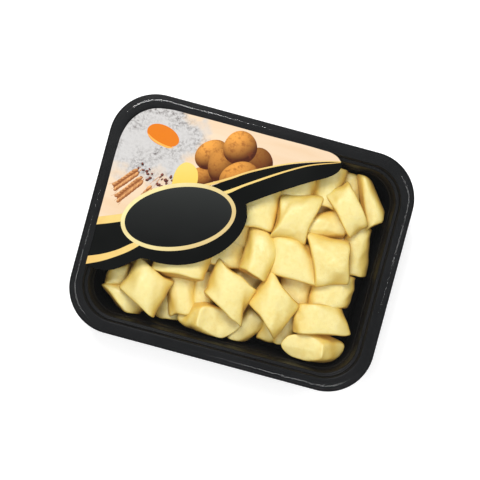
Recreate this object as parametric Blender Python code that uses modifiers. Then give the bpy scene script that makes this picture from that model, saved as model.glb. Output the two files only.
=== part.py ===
"""A sealed retail tray of potato gnocchi, of the kind cut on a slant from a rolled strand.

Three closed solids: the thermoformed tray, the heap of gnocchi in it, and the lidding film
sealed to the tray's flange. Metres, +Z up. The origin is at the middle of the tray's
footprint, on the surface that the pack stands on. +X runs along the tray's long side.
"""

import math
import random

import bmesh
import bpy
from mathutils import Vector

MM = 0.001

# Tray: its outside at the flange, its height, and the plastic's thickness.
TRAY_LENGTH = 227 * MM
TRAY_WIDTH = 178 * MM
TRAY_HEIGHT = 45 * MM
TRAY_CORNER = 34 * MM
TRAY_SHEET = 0.8 * MM

# How much a corner's radius shrinks for each metre that the wall comes inwards.
CORNER_TAPER = 0.75
CORNER_STEPS = 8
FILLET_STEPS = 3

# The tray's section. Insets are measured inwards from the outer edge, heights from the base.
SKIRT_DROP = 2.6 * MM
FLANGE_INSET = 9.5 * MM
LEDGE_DROP = 3.8 * MM
LEDGE_INSET = 12.8 * MM
WALL_FOOT_INSET = 18.5 * MM
FOOT_RING_INSET = 26.0 * MM
PANEL_INSET = 27.6 * MM
PANEL_RISE = 1.5 * MM

# Lidding film: a cut sheet a little smaller than the flange, with a working gap under it.
FILM_INSET = 1.5 * MM
FILM_SHEET = 0.4 * MM
GAP = 0.3 * MM

# Heap of gnocchi, in millimetres because its height is a formula of plain numbers.
HEAP_HALF_LENGTH = 95.0
HEAP_HALF_WIDTH = 71.0
HEAP_CORNER_PULL = 0.30
HEAP_FOOT_SCALE = 0.96
HEAP_CELLS_X = 46
HEAP_CELLS_Y = 36
BED_HEIGHT = 16.0
BED_RIM_FALL = 0.45
PIECE_LENGTH = 33.0
PIECE_WIDTH = 28.0
PIECE_CROWN = 9.5

# Gnocchi on top of the heap that lie under the clear film: x, y, turn in degrees, top height.
TOP_PIECES = (
    (-57, -49, 10, 38), (-75, -60, -35, 26), (-79, -46, 20, 24), (-36, -28, 0, 38),
    (-32, -48, 80, 26), (-20, -44, 60, 30), (-9, -60, 0, 37), (19, -60, 25, 28),
    (1, -36, -20, 40), (34, -37, -35, 40), (50, -53, 0, 24), (71, -38, 5, 33),
    (70, -59, 5, 31), (74, -18, 5, 30), (46, -24, 0, 28), (65, 3, -10, 40),
    (82, 15, 85, 30), (68, 42, -40, 40), (80, 48, -60, 32), (57, 29, -15, 34),
    (31, 28, 8, 40), (8, 27, 80, 36), (15, -4, -20, 39), (40, -2, -15, 34),
    (-8, -12, 70, 32), (50, 57, 60, 33), (31, 51, 10, 33), (63, 62, 0, 28),
)

# The rest of the top layer lies in staggered rows on the other side of a slanting line.
ROW_STEP = 27.0
COLUMN_STEP = 31.0
ROW_SEED = 11
ROW_TOP = 35.0
SLANT_SLOPE = 0.62
SLANT_OFFSET = 14.0


def material(name, colour, roughness, alpha=1.0):
    """A Principled material of one colour."""
    made = bpy.data.materials.new(name)
    made.use_nodes = True
    shader = made.node_tree.nodes["Principled BSDF"]
    shader.inputs["Base Color"].default_value = (*colour, 1.0)
    shader.inputs["Roughness"].default_value = roughness
    shader.inputs["Metallic"].default_value = 0.0
    shader.inputs["Alpha"].default_value = alpha
    made.diffuse_color = (*colour, alpha)
    return made


def add_object(name, mesh_source, collection, finish):
    """Turn a bmesh into a named object with its material."""
    mesh = bpy.data.meshes.new(name)
    mesh_source.to_mesh(mesh)
    mesh_source.free()
    made = bpy.data.objects.new(name, mesh)
    made.data.materials.append(finish)
    collection.objects.link(made)
    return made


def rounded_ring(inset, height):
    """Points of a rounded rectangle, anticlockwise, at this inset from the tray's edge."""
    half_length = TRAY_LENGTH / 2 - inset
    half_width = TRAY_WIDTH / 2 - inset
    radius = TRAY_CORNER - CORNER_TAPER * inset
    ring = []
    for corner, (side_x, side_y) in enumerate(((1, 1), (-1, 1), (-1, -1), (1, -1))):
        centre_x = side_x * (half_length - radius)
        centre_y = side_y * (half_width - radius)
        for step in range(CORNER_STEPS + 1):
            angle = math.pi / 2 * (corner + step / CORNER_STEPS)
            x = centre_x + radius * math.cos(angle)
            y = centre_y + radius * math.sin(angle)
            ring.append(Vector((x, y, height)))
    return ring


def rounded_path(corners):
    """A section through (inset, height, radius) corners, each rounded by an arc of its radius."""
    path = [Vector(corners[0][:2])]
    for before, here, after in zip(corners, corners[1:], corners[2:]):
        point = Vector(here[:2])
        to_before = (Vector(before[:2]) - point).normalized()
        to_after = (Vector(after[:2]) - point).normalized()
        half_angle = to_before.angle(to_after) / 2
        reach = here[2] / math.tan(half_angle)
        centre = point + (to_before + to_after).normalized() * here[2] / math.sin(half_angle)
        start = point + to_before * reach - centre
        end = point + to_after * reach - centre
        for step in range(FILLET_STEPS + 1):
            part = step / FILLET_STEPS
            blend = start.lerp(end, part)
            path.append(centre + blend.normalized() * here[2])
    path.append(Vector(corners[-1][:2]))
    return path


def tray_section():
    """The tray's upper skin from the skirt's foot, over the flange and down to the floor panel."""
    floor = TRAY_SHEET
    return rounded_path((
        (0.0, TRAY_HEIGHT - SKIRT_DROP, 0.0),
        (0.0, TRAY_HEIGHT, 1.2 * MM),
        (FLANGE_INSET, TRAY_HEIGHT, 1.4 * MM),
        (FLANGE_INSET + 0.8 * MM, TRAY_HEIGHT - LEDGE_DROP, 1.2 * MM),
        (LEDGE_INSET, TRAY_HEIGHT - LEDGE_DROP - 0.2 * MM, 1.4 * MM),
        (WALL_FOOT_INSET, floor, 4.5 * MM),
        (FOOT_RING_INSET, floor, 1.4 * MM),
        (PANEL_INSET, floor + PANEL_RISE, 1.4 * MM),
        (PANEL_INSET + 4 * MM, floor + PANEL_RISE, 0.0),
    ))


def build_tray(collection):
    """Loft the section round the rounded rectangle, close the floor and give it its thickness."""
    mesh = bmesh.new()
    rings = []
    for inset, height in tray_section():
        rings.append([mesh.verts.new(point) for point in rounded_ring(inset, height)])
    count = len(rings[0])
    for outer, inner in zip(rings, rings[1:]):
        for here in range(count):
            after = (here + 1) % count
            mesh.faces.new((outer[here], outer[after], inner[after], inner[here]))
    mesh.faces.new(rings[-1])
    tray = add_object("tray", mesh, collection, material("black_tray", (0.018, 0.019, 0.020), 0.32))
    tray.data.shade_smooth()
    tray.data.set_sharp_from_angle(angle=math.radians(50))
    wall = tray.modifiers.new("sheet", "SOLIDIFY")
    wall.thickness = TRAY_SHEET
    wall.offset = -1.0
    wall.use_even_offset = True
    return tray


def build_film(collection):
    """A flat cut sheet over the flange, with rounded corners."""
    mesh = bmesh.new()
    height = TRAY_HEIGHT + GAP
    mesh.faces.new([mesh.verts.new(point) for point in rounded_ring(FILM_INSET, height)])
    finish = material("clear_film", (0.92, 0.93, 0.94), 0.12, alpha=0.3)
    film = add_object("lid_film", mesh, collection, finish)
    sheet = film.modifiers.new("sheet", "SOLIDIFY")
    sheet.thickness = FILM_SHEET
    sheet.offset = 1.0
    return film


def row_pieces():
    """Top-layer gnocchi past the slanting line: staggered rows, each a little out of place."""
    draw = random.Random(ROW_SEED)
    placed = []
    rows = int(2 * HEAP_HALF_WIDTH // ROW_STEP)
    columns = int(2 * HEAP_HALF_LENGTH // COLUMN_STEP)
    for row in range(rows):
        for column in range(columns):
            x = -HEAP_HALF_LENGTH + COLUMN_STEP * (column + 0.5 + 0.5 * (row % 2))
            y = HEAP_HALF_WIDTH - ROW_STEP * (row + 0.55)
            x += draw.uniform(-4, 4)
            y += draw.uniform(-4, 4)
            turn = draw.uniform(-80, 80)
            top = ROW_TOP + draw.uniform(-5, 5)
            if y > SLANT_OFFSET + SLANT_SLOPE * x:
                placed.append((x, y, turn, top))
    return placed


def heap_height(x, y, rim, pieces):
    """The highest gnocchi over this point, or the bed between them, in millimetres."""
    height = BED_HEIGHT * (1 - BED_RIM_FALL * rim ** 4)
    for piece_x, piece_y, turn, top in pieces:
        angle = math.radians(turn)
        along = (x - piece_x) * math.cos(angle) + (y - piece_y) * math.sin(angle)
        across = (y - piece_y) * math.cos(angle) - (x - piece_x) * math.sin(angle)
        spread = abs(2 * along / PIECE_LENGTH) ** 3 + abs(2 * across / PIECE_WIDTH) ** 3
        if spread < 1:
            height = max(height, top - PIECE_CROWN * (1 - (1 - spread) ** 0.45))
    return height


def heap_outline(u, v):
    """Map the square -1..1 onto the heap's plan: a pulled-in rectangle with an uneven edge."""
    x = HEAP_HALF_LENGTH * u * math.sqrt(1 - HEAP_CORNER_PULL * v * v)
    y = HEAP_HALF_WIDTH * v * math.sqrt(1 - HEAP_CORNER_PULL * u * u)
    turn = math.atan2(y, x)
    edge = 1 - 0.022 * (1 + math.sin(7 * turn + 0.8)) - 0.012 * (1 + math.sin(13 * turn))
    return x * edge, y * edge


def build_heap(collection):
    """One solid out to the heap's uneven outline: a grid raised to the gnocchi, with a flat foot."""
    mesh = bmesh.new()
    bmesh.ops.create_grid(mesh, x_segments=HEAP_CELLS_X, y_segments=HEAP_CELLS_Y, size=1.0)
    crown = list(mesh.faces)
    pieces = list(TOP_PIECES) + row_pieces()
    for vertex in mesh.verts:
        u, v = vertex.co.x, vertex.co.y
        x, y = heap_outline(u, v)
        height = heap_height(x, y, max(abs(u), abs(v)), pieces)
        vertex.co = Vector((x, y, height)) * MM
    foot = bmesh.ops.extrude_face_region(mesh, geom=crown, use_keep_orig=True)["geom"]
    floor = TRAY_SHEET + PANEL_RISE + GAP
    for part in foot:
        if isinstance(part, bmesh.types.BMVert):
            part.co = Vector((part.co.x * HEAP_FOOT_SCALE, part.co.y * HEAP_FOOT_SCALE, floor))
    bottom = [part for part in foot if isinstance(part, bmesh.types.BMFace)]
    bmesh.ops.dissolve_faces(mesh, faces=bottom, use_verts=True)
    bmesh.ops.recalc_face_normals(mesh, faces=list(mesh.faces))
    heap = add_object("gnocchi_heap", mesh, collection, material("gnocchi", (0.86, 0.70, 0.36), 0.5))
    heap.data.shade_smooth()
    heap.data.set_sharp_from_angle(angle=math.radians(60))
    return heap


def main():
    for old in list(bpy.data.objects):
        bpy.data.objects.remove(old, do_unlink=True)
    collection = bpy.data.collections.new("gnocchi_tray_pack")
    bpy.context.scene.collection.children.link(collection)
    build_tray(collection)
    build_heap(collection)
    build_film(collection)


main()
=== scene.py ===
# %% [markdown]
# # A sealed tray of potato gnocchi
#
# The pack is a black thermoformed tray, a heap of slant-cut potato gnocchi in it, and a lidding
# film sealed to the tray's flange, printed over one corner and clear over the rest. The packed
# solids are the fixed frame: they give every size and place, and each new piece stands for one.

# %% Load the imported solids
import math
import bpy
import numpy as np
from mathutils import Matrix, Vector


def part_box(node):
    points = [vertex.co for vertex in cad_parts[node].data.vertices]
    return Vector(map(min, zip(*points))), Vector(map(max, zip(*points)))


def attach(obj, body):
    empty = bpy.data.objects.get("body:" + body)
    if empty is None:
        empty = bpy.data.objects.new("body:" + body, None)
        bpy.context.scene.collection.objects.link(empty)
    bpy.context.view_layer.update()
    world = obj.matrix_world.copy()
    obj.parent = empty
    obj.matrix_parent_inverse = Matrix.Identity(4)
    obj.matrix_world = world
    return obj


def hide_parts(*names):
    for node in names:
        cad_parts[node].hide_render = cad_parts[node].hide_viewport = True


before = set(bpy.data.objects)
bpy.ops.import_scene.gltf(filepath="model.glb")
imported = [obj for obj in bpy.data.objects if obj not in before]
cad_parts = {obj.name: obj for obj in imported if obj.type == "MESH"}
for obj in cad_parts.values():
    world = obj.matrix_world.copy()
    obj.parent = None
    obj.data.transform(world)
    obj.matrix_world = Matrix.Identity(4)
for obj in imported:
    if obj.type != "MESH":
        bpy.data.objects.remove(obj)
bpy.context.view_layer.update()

tray_low, tray_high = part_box("tray")
heap_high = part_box("gnocchi_heap")[1]
print("tray", [round(high - low, 4) for low, high in zip(tray_low, tray_high)])

MM = 0.001
HALF_LENGTH = (tray_high[0] - tray_low[0]) / 2
HALF_WIDTH = (tray_high[1] - tray_low[1]) / 2
TRAY_TOP = tray_high[2]

# %% [markdown]
# ## Camera, floor and light
#
# The pack is seen from straight above, a little turned. A long lens held almost a metre away
# keeps the walls nearly upright. The light is a big soft panel to one side of the camera and
# weaker ones round it, so the dough has a bright crown and a dark side, whose warm ochre is
# painted shade in the dough's colour, while the space right over the camera stays empty and
# the black flange has nothing bright to mirror.

# %% Camera
PACK_TURN = math.radians(15.1)
CAMERA_HEIGHT = 0.95
VIEW_WIDTH = 0.3473
CAMERA_OFFSET = (-1.27 * MM, 2.08 * MM)


def aim_camera():
    """A camera straight above the pack, turned about its own axis by PACK_TURN."""
    data = bpy.data.cameras.new("pack_camera")
    data.sensor_width = 36.0
    data.lens = data.sensor_width * CAMERA_HEIGHT / VIEW_WIDTH
    camera = bpy.data.objects.new("pack_camera", data)
    right = Vector((math.cos(PACK_TURN), math.sin(PACK_TURN), 0))
    up = Vector((-math.sin(PACK_TURN), math.cos(PACK_TURN), 0))
    camera.location = right * CAMERA_OFFSET[0] + up * CAMERA_OFFSET[1]
    camera.location.z = TRAY_TOP + CAMERA_HEIGHT
    camera.rotation_euler = (0, 0, PACK_TURN)
    bpy.context.scene.collection.objects.link(camera)
    bpy.context.scene.camera = camera
    return camera


camera = aim_camera()
print("lens", round(camera.data.lens, 1))

# %% Floor and lamps
bpy.context.scene.view_settings.view_transform = "Standard"
WORLD_LEVEL = 0.2
KEY_POWER = 11.2
FILL_POWER = 2.8
FLOOR_COLOUR = (0.9, 0.9, 0.9, 1.0)
FLOOR_GLOW = 0.5


def add_floor():
    """A plain pale floor under the pack, faintly lit from below like a light table."""
    edge = 3.0
    mesh = bpy.data.meshes.new("floor")
    corners = [(-edge, -edge, 0), (edge, -edge, 0), (edge, edge, 0), (-edge, edge, 0)]
    mesh.from_pydata(corners, [], [(0, 1, 2, 3)])
    floor = bpy.data.objects.new("floor", mesh)
    finish = bpy.data.materials.new("floor_paper")
    finish.use_nodes = True
    shader = finish.node_tree.nodes["Principled BSDF"]
    shader.inputs["Base Color"].default_value = FLOOR_COLOUR
    shader.inputs["Roughness"].default_value = 0.9
    shader.inputs["Emission Color"].default_value = FLOOR_COLOUR
    shader.inputs["Emission Strength"].default_value = FLOOR_GLOW
    mesh.materials.append(finish)
    bpy.context.scene.collection.objects.link(floor)
    return floor


def add_lamp(name, bearing, height, distance, size, power):
    """A square soft panel at this bearing in the picture, aimed at the middle of the pack."""
    data = bpy.data.lights.new(name, "AREA")
    data.shape = "SQUARE"
    data.size = size
    data.energy = power
    lamp = bpy.data.objects.new(name, data)
    angle = math.radians(bearing) + PACK_TURN
    lamp.location = (distance * math.cos(angle), distance * math.sin(angle), height)
    lamp.rotation_euler = Vector(lamp.location).to_track_quat("Z", "Y").to_euler()
    bpy.context.scene.collection.objects.link(lamp)
    return lamp


def light_room():
    """An even pale room, a key panel past the pack's far left side and three weak panels."""
    world = bpy.data.worlds.new("pale_room")
    world.use_nodes = True
    back = world.node_tree.nodes["Background"]
    back.inputs["Color"].default_value = (1, 1, 1, 1)
    back.inputs["Strength"].default_value = WORLD_LEVEL
    bpy.context.scene.world = world
    add_lamp("key_panel", 103, 1.05, 0.68, 0.5, KEY_POWER)
    add_lamp("left_panel", 190, 1.0, 0.68, 0.5, FILL_POWER)
    add_lamp("right_panel", 5, 1.0, 0.68, 0.5, FILL_POWER)
    add_lamp("near_panel", 278, 1.0, 0.68, 0.5, FILL_POWER * 1.25)


floor = add_floor()
light_room()

# %% [markdown]
# ## Making a mesh from a grid
#
# Every piece here is a surface worked out as whole arrays: a table of points, rows by columns.
# One helper joins neighbouring rows with quads and closes the columns into a ring where asked,
# and another turns points and faces into a mesh. A piece that closes a first or last row on one
# point as a pole adds that fan itself.


# %% Grid to mesh
def grid_faces(rows, columns, ring):
    """Quads between neighbouring points of a table; a ring's last column joins its first."""
    index = np.arange(rows * columns).reshape(rows, columns)
    after = np.roll(index, -1, axis=1) if ring else index[:, 1:]
    here = index if ring else index[:, :-1]
    return np.stack([here[:-1], after[:-1], after[1:], here[1:]], axis=-1).reshape(-1, 4)


def mesh_object(name, points, faces, finish):
    """A smooth mesh object at the origin from arrays of points in metres and quads or more."""
    mesh = bpy.data.meshes.new(name)
    faces = [face for group in faces for face in np.asarray(group).tolist()]
    mesh.from_pydata(np.asarray(points).reshape(-1, 3).tolist(), [], faces)
    mesh.validate()
    mesh.shade_smooth()
    mesh.materials.append(finish)
    made = bpy.data.objects.new(name, mesh)
    bpy.context.scene.collection.objects.link(made)
    return made


def add_thickness(piece, depth, offset=-1.0):
    """Solidify a sheet; -1 puts the thickness behind its face."""
    sheet = piece.modifiers.new("sheet", "SOLIDIFY")
    sheet.thickness = depth
    sheet.offset = offset
    sheet.use_even_offset = True
    return sheet


def keep(piece, node=None):
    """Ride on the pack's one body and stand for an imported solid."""
    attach(piece, "root")
    if node:
        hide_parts(node)
    print(piece.name, len(piece.data.polygons), "faces")
    return piece


# %% [markdown]
# ## Material helpers
#
# A finish is a Principled shader whose colour, roughness and bump come from noise on Object
# coordinates. Three effects serve several finishes, so each is a node group that puts out only
# a colour or a value: a soft drift between two colours, low swells that change a gloss, and the
# slow waves of a stretched film.


# %% Colour and node helpers
def linear(red, green, blue):
    """A colour given as 0 to 255 screen values, as the linear light that a shader takes."""
    screen = np.array([red, green, blue]) / 255
    light = np.where(screen <= 0.04045, screen / 12.92, ((screen + 0.055) / 1.055) ** 2.4)
    return (*light.tolist(), 1.0)


def new_finish(name):
    """An empty material with its Principled shader and an Object coordinate, ready to wire."""
    finish = bpy.data.materials.new(name)
    finish.use_nodes = True
    nodes = finish.node_tree.nodes
    shader = nodes["Principled BSDF"]
    place = nodes.new("ShaderNodeTexCoord").outputs["Object"]
    return finish, shader, place


def wire(finish, source, target):
    """Join two sockets of a finish."""
    finish.node_tree.links.new(source, target)


def noise(tree, place, scale, detail=2.0, distortion=0.0, roughness=0.5):
    """A noise mask over a place; scale counts its swells in a metre."""
    node = tree.nodes.new("ShaderNodeTexNoise")
    node.inputs["Scale"].default_value = scale
    node.inputs["Detail"].default_value = detail
    node.inputs["Roughness"].default_value = roughness
    node.inputs["Distortion"].default_value = distortion
    tree.links.new(place, node.inputs["Vector"])
    return node.outputs["Fac"]


def remap(tree, value, low, high, to_low, to_high):
    """Stretch a value from one range to another, clamped."""
    node = tree.nodes.new("ShaderNodeMapRange")
    tree.links.new(value, node.inputs["Value"])
    limits = {"From Min": low, "From Max": high, "To Min": to_low, "To Max": to_high}
    for socket, number in limits.items():
        node.inputs[socket].default_value = number
    return node.outputs["Result"]


def blend(tree, mask, first, second):
    """Mix two colours, each a socket or four numbers, by a mask."""
    node = tree.nodes.new("ShaderNodeMix")
    node.data_type = "RGBA"
    tree.links.new(mask, node.inputs["Factor"])
    for socket, colour in ((node.inputs["A"], first), (node.inputs["B"], second)):
        if isinstance(colour, bpy.types.NodeSocket):
            tree.links.new(colour, socket)
        else:
            socket.default_value = colour
    return node.outputs["Result"]


def combine(tree, operation, first, second):
    """One value from two sockets, by a sum, a difference or a product."""
    node = tree.nodes.new("ShaderNodeMath")
    node.operation = operation
    tree.links.new(first, node.inputs[0])
    tree.links.new(second, node.inputs[1])
    return node.outputs["Value"]


def mapped(tree, place, shift=(0, 0, 0), turn=0.0, scale=(1, 1, 1)):
    """A place scaled, turned about the upright and shifted."""
    node = tree.nodes.new("ShaderNodeMapping")
    node.inputs["Location"].default_value = shift
    node.inputs["Rotation"].default_value = (0, 0, math.radians(turn))
    node.inputs["Scale"].default_value = scale
    tree.links.new(place, node.inputs["Vector"])
    return node.outputs["Vector"]


print("helpers ready")

# %% Shared effects
def new_group(name, sockets, result):
    """An empty group with these inputs and this one output, given as names and kinds of socket."""
    group = bpy.data.node_groups.new(name, "ShaderNodeTree")
    for socket, kind in sockets:
        group.interface.new_socket(name=socket, in_out="INPUT", socket_type="NodeSocket" + kind)
    group.interface.new_socket(name=result[0], in_out="OUTPUT", socket_type="NodeSocket" + result[1])
    inlet = group.nodes.new("NodeGroupInput").outputs
    outlet = group.nodes.new("NodeGroupOutput").inputs
    return group, inlet, outlet


def colour_drift_group():
    """Group: two colours mixed by slow noise, so that no surface is one flat colour."""
    sockets = (("Place", "Vector"), ("Main", "Color"), ("Other", "Color"), ("Scale", "Float"))
    group, inlet, outlet = new_group("colour_drift", sockets, ("Colour", "Color"))
    field = noise(group, inlet["Place"], 1.0, detail=3.0)
    group.links.new(inlet["Scale"], field.node.inputs["Scale"])
    mask = remap(group, field, 0.35, 0.68, 0.0, 1.0)
    group.links.new(blend(group, mask, inlet["Main"], inlet["Other"]), outlet["Colour"])
    return group


def gloss_swell_group():
    """Group: a roughness that wanders between two values over slow swells."""
    sockets = (("Place", "Vector"), ("Scale", "Float"), ("Smooth", "Float"), ("Dull", "Float"))
    group, inlet, outlet = new_group("gloss_swell", sockets, ("Roughness", "Float"))
    field = noise(group, inlet["Place"], 1.0, detail=2.0)
    group.links.new(inlet["Scale"], field.node.inputs["Scale"])
    spread = remap(group, field, 0.3, 0.7, 0.0, 1.0)
    group.links.new(inlet["Smooth"], spread.node.inputs["To Min"])
    group.links.new(inlet["Dull"], spread.node.inputs["To Max"])
    group.links.new(spread, outlet["Roughness"])
    return group


def film_wave_group():
    """Group: the height of the slow waves that tension leaves in a sealed film."""
    group, inlet, outlet = new_group("film_wave", [("Place", "Vector")], ("Height", "Float"))
    group.links.new(noise(group, inlet["Place"], 16.0, detail=1.0, distortion=0.8), outlet["Height"])
    return group


COLOUR_DRIFT = colour_drift_group()
GLOSS_SWELL = gloss_swell_group()
FILM_WAVE = film_wave_group()


def place_group(finish, group, place, values):
    """Place a group in a finish, set its inputs to sockets or numbers, and give its result."""
    node = finish.node_tree.nodes.new("ShaderNodeGroup")
    node.node_tree = group
    wire(finish, place, node.inputs["Place"])
    for name, value in values.items():
        if isinstance(value, bpy.types.NodeSocket):
            wire(finish, value, node.inputs[name])
        else:
            node.inputs[name].default_value = value
    return node.outputs[0]


def drift(finish, place, main, other, scale):
    """The colour drift between two colours, each a socket or four numbers."""
    return place_group(finish, COLOUR_DRIFT, place, {"Main": main, "Other": other, "Scale": scale})


def gloss(finish, shader, place, scale, smooth, dull):
    """Feed the shader's roughness from the gloss swell group."""
    values = {"Scale": scale, "Smooth": smooth, "Dull": dull}
    wire(finish, place_group(finish, GLOSS_SWELL, place, values), shader.inputs["Roughness"])


def bump(finish, shader, height, strength, distance):
    """Bend the shader's normal by a height of this many metres."""
    node = finish.node_tree.nodes.new("ShaderNodeBump")
    node.inputs["Strength"].default_value = strength
    node.inputs["Distance"].default_value = distance
    wire(finish, height, node.inputs["Height"])
    wire(finish, node.outputs["Normal"], shader.inputs["Normal"])


def film_sheen(finish, shader, place, smooth, dull):
    """What clear and printed film share: a high, wandering gloss over slow waves."""
    gloss(finish, shader, place, 25.0, smooth, dull)
    bump(finish, shader, place_group(finish, FILM_WAVE, place, {}), 0.25, 0.002)


print("groups", [group.name for group in bpy.data.node_groups])

# %% [markdown]
# ## The tray
#
# A thermoformed tray is one sheet of plastic, so it is one section carried round a rounded
# rectangle: a turned-down skirt, the flat flange that takes the seal, a step, a ledge, sloping
# walls with faint upright ribs, a foot ring and a raised floor. Modelling the sheet's upper skin
# and thickening it downwards keeps every bend at its true radius on both sides.

# %% Tray section and rings
TRAY_CORNER = 34.0 * MM
CORNER_TAPER = 0.75
TRAY_SHEET = 0.7 * MM
RIB_PITCH = 23.6 * MM
RIB_HALF = 2.2 * MM
RIB_DEPTH = 0.35 * MM
ARC_POINTS = 20
RUN_POINTS = 56


def rounded_section(corners, steps=6):
    """Points through (inset, height, radius) corners, each bend replaced by an arc.

    The arc's centre lies on the bend's bisector, at radius / sine of half the angle, and its
    spokes are spread evenly between the two places where it meets the runs.
    """
    stops = np.array(corners)
    path = [stops[:1, :2]]
    for before, here, after in zip(stops, stops[1:], stops[2:]):
        back = before[:2] - here[:2]
        on = after[:2] - here[:2]
        back /= np.linalg.norm(back)
        on /= np.linalg.norm(on)
        half = math.acos(float(np.clip(back @ on, -1, 1))) / 2
        middle = back + on
        centre = here[:2] + middle / np.linalg.norm(middle) * here[2] / math.sin(half)
        reach = here[2] / math.tan(half)
        share = np.linspace(0, 1, steps)[:, None]
        spoke = here[:2] - centre + reach * ((1 - share) * back + share * on)
        path.append(centre + here[2] * spoke / np.linalg.norm(spoke, axis=1, keepdims=True))
    path.append(stops[-1:, :2])
    return np.concatenate(path)


def rounded_rings(inset, height, arc=ARC_POINTS, run=RUN_POINTS):
    """Rows of a rounded rectangle, anticlockwise: four quarter arcs joined by straight runs.

    Each row lies at its own inset from the tray's edge, and its corner radius shrinks with it.
    """
    inset = np.asarray(inset, dtype=float)[:, None]
    half_x = HALF_LENGTH - inset
    half_y = HALF_WIDTH - inset
    radius = TRAY_CORNER - CORNER_TAPER * inset
    arcs = []
    for quarter, (sign_x, sign_y) in enumerate(((1, 1), (-1, 1), (-1, -1), (1, -1))):
        angle = (quarter + np.linspace(0, 1, arc)[None, :]) * math.pi / 2
        x = sign_x * (half_x - radius) + radius * np.cos(angle)
        y = sign_y * (half_y - radius) + radius * np.sin(angle)
        arcs.append(np.stack([x, y], axis=-1))
    pieces = []
    share = np.linspace(0, 1, run + 2)[1:-1][None, :, None]
    for here, after in zip(arcs, arcs[1:] + arcs[:1]):
        pieces += [here, (1 - share) * here[:, -1:] + share * after[:, :1]]
    plan = np.concatenate(pieces, axis=1)
    level = np.broadcast_to(np.asarray(height, dtype=float)[:, None, None], (*plan.shape[:2], 1))
    return np.concatenate([plan, level], axis=-1)


TRAY_SECTION = rounded_section(np.array([
    (0.0, 42.3, 0.0),
    (0.0, 45.0, 1.0),
    (9.4, 45.0, 1.5),
    (10.2, 41.2, 1.1),
    (12.7, 41.0, 1.3),
    (14.3, 29.6, 1.2),
    (15.3, 28.6, 1.2),
    (18.5, 0.8, 5.0),
    (26.0, 0.8, 1.4),
    (27.6, 2.3, 1.4),
    (31.6, 2.3, 0.0),
]) * MM)
print("section points", len(TRAY_SECTION))


# %% Tray mesh
def rib_pattern(points):
    """Ribs across the straight walls: one cosine hump at each pitch, and none on the corners."""
    x, y = points[..., 0], points[..., 1]
    on_side = np.abs(x) / HALF_LENGTH > np.abs(y) / HALF_WIDTH
    along = np.where(on_side, y, x)
    limit = np.where(on_side, HALF_WIDTH, HALF_LENGTH) - TRAY_CORNER
    phase = (along + RIB_PITCH / 2) % RIB_PITCH - RIB_PITCH / 2
    hump = np.where(np.abs(phase) < RIB_HALF, 0.5 + 0.5 * np.cos(math.pi * phase / RIB_HALF), 0)
    return hump * (np.abs(along) < limit), on_side


def tray_skin():
    """The section carried round the rings, with ribs pushed inwards on the walls only."""
    inset, height = TRAY_SECTION[:, 0], TRAY_SECTION[:, 1]
    points = rounded_rings(inset, height)
    hump, on_side = rib_pattern(points)
    wall = np.clip((height - 6 * MM) / (5 * MM), 0, 1) * np.clip((38 * MM - height) / (4 * MM), 0, 1)
    push = RIB_DEPTH * hump * wall[:, None]
    points[..., 0] -= np.where(on_side, np.sign(points[..., 0]) * push, 0)
    points[..., 1] -= np.where(on_side, 0, np.sign(points[..., 1]) * push)
    return points


def closed_floor(points, shares=(0.82, 0.6, 0.36, 0.14)):
    """Shrink the last row towards the middle in steps and close it on one point."""
    inner = points[-1][None] * np.array([(share, share, 1) for share in shares])[:, None]
    rows = np.concatenate([points, inner])
    count = rows.shape[1]
    faces = grid_faces(rows.shape[0], count, ring=True)
    pole = rows.shape[0] * count
    last = np.arange(count) + (rows.shape[0] - 1) * count
    fan = np.stack([last, np.roll(last, -1), np.full(count, pole)], axis=-1)
    middle = np.array([[0, 0, points[-1, :, 2].mean()]])
    return np.concatenate([rows.reshape(-1, 3), middle]), [faces, fan]


def tray_finish():
    """Glossy black sheet: nearly black, slow swells in its gloss, faint draw marks in its normal."""
    finish, shader, place = new_finish("black_sheet")
    tree = finish.node_tree
    colour = drift(finish, place, linear(8, 10, 12), linear(13, 14, 16), 14.0)
    wire(finish, colour, shader.inputs["Base Color"])
    gloss(finish, shader, place, 30.0, 0.34, 0.5)
    shader.inputs["Specular IOR Level"].default_value = 0.14
    swell = noise(tree, place, 38.0, detail=2.0, distortion=0.6)
    bump(finish, shader, swell, 0.5, 0.0009)
    return finish


points, faces = closed_floor(tray_skin())
tray = mesh_object("tray_sheet", points, faces, tray_finish())
add_thickness(tray, TRAY_SHEET)
keep(tray, "tray")

# %% [markdown]
# ## One gnocco
#
# The dough is rolled to a strand, pressed a little flat and cut on the slant, so a piece is a
# short length of roll with two cut faces and four drawn corners. It is a profile carried along
# the roll: rows run from the middle of one cut face, over its soft rim, along the roll and to
# the middle of the other. The knife drags the corners out, so both the cut faces and the sides
# hollow a little between them, and slow waves keep any two pieces from matching.

# %% Gnocco shape
GNOCCO_COLUMNS = 44
GNOCCO_THICK = 19.5
RIM_ROUNDING = 0.13
FACE_DISH = 0.03
ROUGH_WAVE = 0.02
WARP_SIZES = (2.2, 3.1, 4.3, 5.6, 8.0, 10.5)
WARP_DEPTH = 0.18
CAP_REACH = (0.30, 0.58, 0.78)
RIM_STEPS = 5
BODY_ROWS = 15


def gnocco_rows(rim):
    """Reach (0 at a face's middle, 1 at the roll's skin) and station (-1 to 1) of every row."""
    turn = np.linspace(0, math.pi / 2, RIM_STEPS)
    rim_reach = 1 - rim * (1 - np.sin(turn))
    rim_station = -1 + rim * (1 - np.cos(turn))
    body = np.linspace(rim_station[-1], -rim_station[-1], BODY_ROWS)[1:-1]
    start_reach = np.concatenate([CAP_REACH, rim_reach])
    start_station = np.concatenate([np.full(len(CAP_REACH), -1.0), rim_station])
    reach = np.concatenate([start_reach, np.ones(len(body)), start_reach[::-1]])
    station = np.concatenate([start_station, body, -start_station[::-1]])
    return reach[:, None], station[:, None]


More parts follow.
